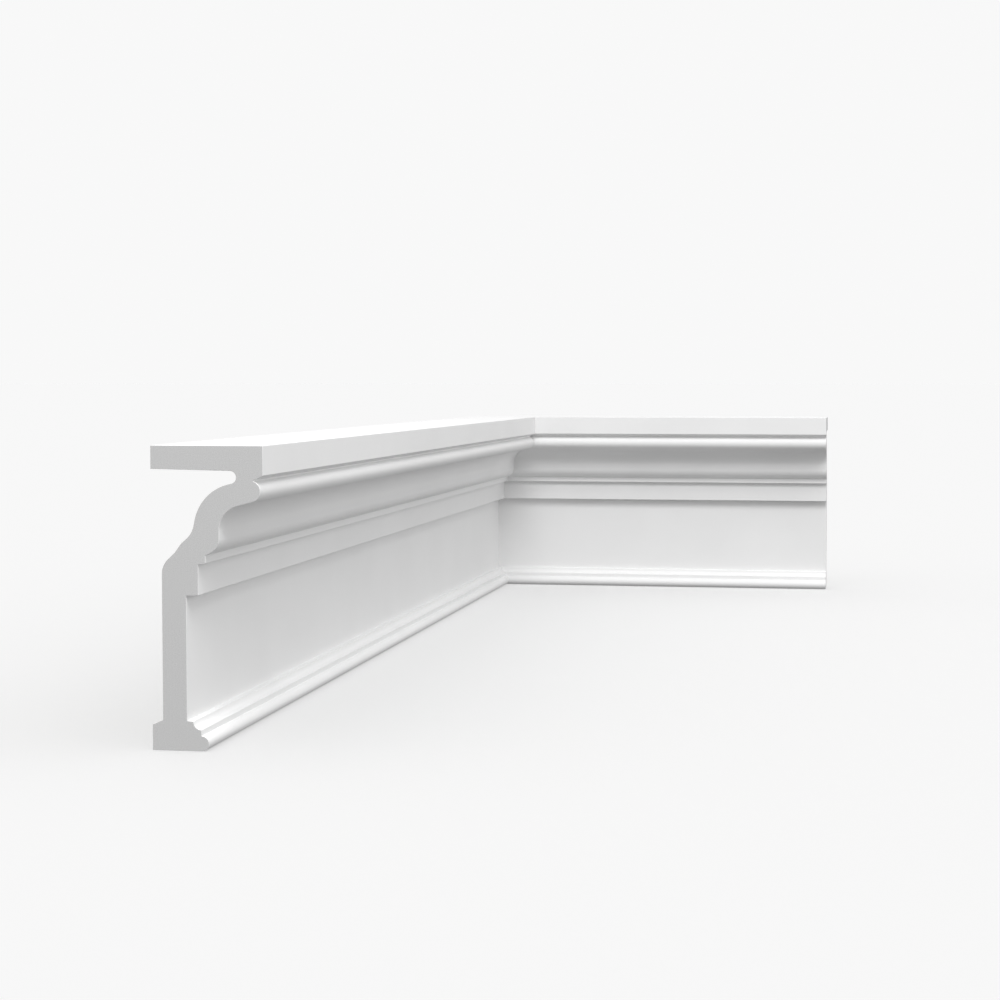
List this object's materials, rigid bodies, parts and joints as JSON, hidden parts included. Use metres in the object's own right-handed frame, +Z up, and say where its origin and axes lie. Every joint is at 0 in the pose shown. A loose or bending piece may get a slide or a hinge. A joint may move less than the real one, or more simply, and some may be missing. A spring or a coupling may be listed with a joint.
{
  "type": "cornice moulding corner",
  "caption": "Hollow-backed wall cornice moulding: a long and a short length of one profile, mitred at an inside corner.",
  "frame": {"origin": "middle of the whole plan, on the level of the underside", "axes": "+Z up the wall, +Y along the long length towards the corner, +X along the short length away from the corner"},
  "size_m": [0.412, 1.2, 0.2],
  "materials": {
    "primed_moulding": "smooth factory-primed white skin over a rigid moulded core, matt to eggshell"
  },
  "bodies": {
    "root": {"left_length": "primed_moulding", "right_length": "primed_moulding"}
  },
  "joints": []
}
